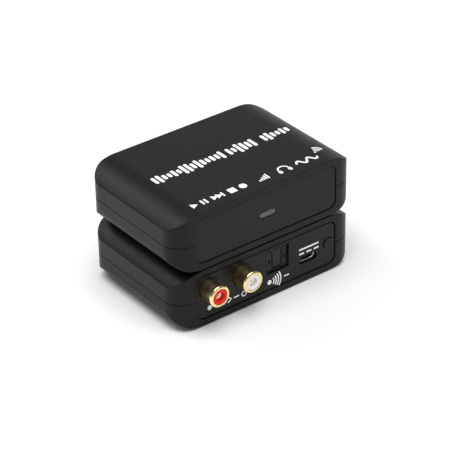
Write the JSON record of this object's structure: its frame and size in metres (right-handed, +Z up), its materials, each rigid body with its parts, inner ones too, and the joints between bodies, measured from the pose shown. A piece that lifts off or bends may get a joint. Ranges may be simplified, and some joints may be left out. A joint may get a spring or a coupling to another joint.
{
  "type": "wireless audio sender and receiver pair",
  "caption": "Stack of low rounded boxes, a wireless audio sender under its receiver, with phono, optical and power sockets, push buttons and status lights.",
  "frame": {"origin": "centre of the stack's bounding box, on the surface that its feet stand on", "axes": "+Z up; +X along the long side, to the right of someone facing the side with the lower box's sockets and the upper box's light; -Y towards that person"},
  "size_m": [0.08, 0.0648, 0.0463],
  "materials": {
    "shell": "satin black moulding",
    "panel": "smooth satin black",
    "rubber": "matt",
    "gilt_metal": "polished gold plate",
    "contact_metal": "dull gold plate",
    "red_plastic": "satin",
    "white_plastic": "satin",
    "black_moulding": "matt",
    "circuit_board": "solder mask",
    "tinned_steel": "bright tin",
    "led_lens": "smoked translucent",
    "clear_resin": "clear resin"
  },
  "bodies": {
    "transmitter": {"transmitter_bottom_shell": "shell", "transmitter_top_shell": "shell", "transmitter_front_panel": "panel", "transmitter_rear_panel": "panel", "transmitter_led_window": "led_lens", "transmitter_status_led": "clear_resin", "transmitter_main_board": "circuit_board", "transmitter_radio_shield": "tinned_steel", "transmitter_audio_chip": "black_moulding", "transmitter_capacitor": "tinned_steel", "transmitter_rca_block": "black_moulding", "transmitter_rca_right_sleeve": "gilt_metal", "transmitter_rca_right_insulator": "red_plastic", "transmitter_rca_right_contact": "contact_metal", "transmitter_rca_left_sleeve": "gilt_metal", "transmitter_rca_left_insulator": "white_plastic", "transmitter_rca_left_contact": "contact_metal", "transmitter_optical_housing": "black_moulding", "transmitter_optical_cell": "clear_resin", "transmitter_usb_shell": "tinned_steel", "transmitter_usb_tongue": "black_moulding", "transmitter_tact_switch": "tinned_steel", "transmitter_screw_left": "tinned_steel", "transmitter_screw_right": "tinned_steel", "transmitter_foot_front_left": "rubber", "transmitter_foot_front_right": "rubber", "transmitter_foot_rear_left": "rubber", "transmitter_foot_rear_right": "rubber"},
    "transmitter_button": {"transmitter_button_cap": "panel"},
    "transmitter_shutter": {"transmitter_optical_shutter": "black_moulding"},
    "receiver": {"receiver_bottom_shell": "shell", "receiver_top_shell": "shell", "receiver_front_panel": "panel", "receiver_rear_panel": "panel", "receiver_led_window": "led_lens", "receiver_status_led": "clear_resin", "receiver_main_board": "circuit_board", "receiver_radio_shield": "tinned_steel", "receiver_audio_chip": "black_moulding", "receiver_capacitor": "tinned_steel", "receiver_rca_block": "black_moulding", "receiver_rca_right_sleeve": "gilt_metal", "receiver_rca_right_insulator": "red_plastic", "receiver_rca_right_contact": "contact_metal", "receiver_rca_left_sleeve": "gilt_metal", "receiver_rca_left_insulator": "white_plastic", "receiver_rca_left_contact": "contact_metal", "receiver_optical_housing": "black_moulding", "receiver_optical_cell": "clear_resin", "receiver_usb_shell": "tinned_steel", "receiver_usb_tongue": "black_moulding", "receiver_tact_switch": "tinned_steel", "receiver_screw_left": "tinned_steel", "receiver_screw_right": "tinned_steel", "receiver_foot_front_left": "rubber", "receiver_foot_front_right": "rubber", "receiver_foot_rear_left": "rubber", "receiver_foot_rear_right": "rubber"},
    "receiver_button": {"receiver_button_cap": "panel"},
    "receiver_shutter": {"receiver_optical_shutter": "black_moulding"}
  },
  "joints": [
    {"name": "receiver_lift", "type": "slide", "parent": "transmitter", "child": "receiver", "axis": [0, 0, 1], "range_m": [0, 0.06]},
    {"name": "transmitter_button_press", "type": "slide", "parent": "transmitter", "child": "transmitter_button", "axis": [0, 1, 0], "range_m": [0, 0.0004], "stiffness_N_per_m": 500},
    {"name": "receiver_button_press", "type": "slide", "parent": "receiver", "child": "receiver_button", "axis": [0, -1, 0], "range_m": [0, 0.0004], "stiffness_N_per_m": 500},
    {"name": "transmitter_shutter_swing", "type": "hinge", "parent": "transmitter", "child": "transmitter_shutter", "pos_m": [0.00485, -0.02475, 0.01795], "axis": [1, 0, 0], "range_deg": [0, 75], "stiffness_Nm_per_rad": 0.0005},
    {"name": "receiver_shutter_swing", "type": "hinge", "parent": "receiver", "child": "receiver_shutter", "pos_m": [-0.00485, 0.02475, 0.0411], "axis": [-1, 0, 0], "range_deg": [0, 75], "stiffness_Nm_per_rad": 0.0005}
  ]
}
